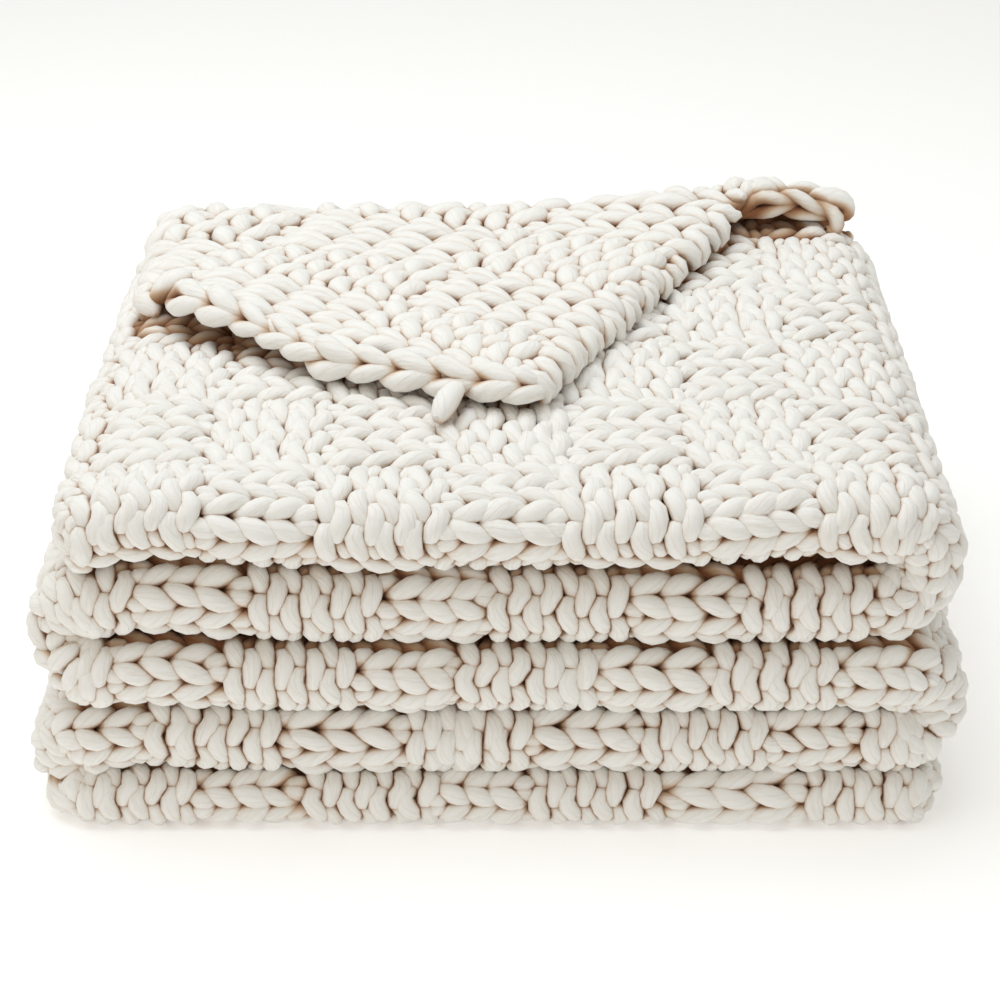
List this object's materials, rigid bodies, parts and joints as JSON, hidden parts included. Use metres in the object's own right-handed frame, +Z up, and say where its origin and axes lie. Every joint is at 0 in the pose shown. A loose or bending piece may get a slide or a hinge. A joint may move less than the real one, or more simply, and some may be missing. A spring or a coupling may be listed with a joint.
{
  "type": "chunky knit blanket",
  "caption": "Thick basketweave knit throw folded back and forth into a low square stack, with one corner turned back on top",
  "frame": {"origin": "on the surface the stack lies on, under the middle of its outer size", "axes": "+Z up, -Y towards the front folds, +X to the right as seen from the front"},
  "size_m": [0.474, 0.4049, 0.2106],
  "materials": {
    "knit_yarn": "soft matt undyed roving yarn"
  },
  "bodies": {
    "root": {"blanket": "knit_yarn"}
  },
  "joints": []
}
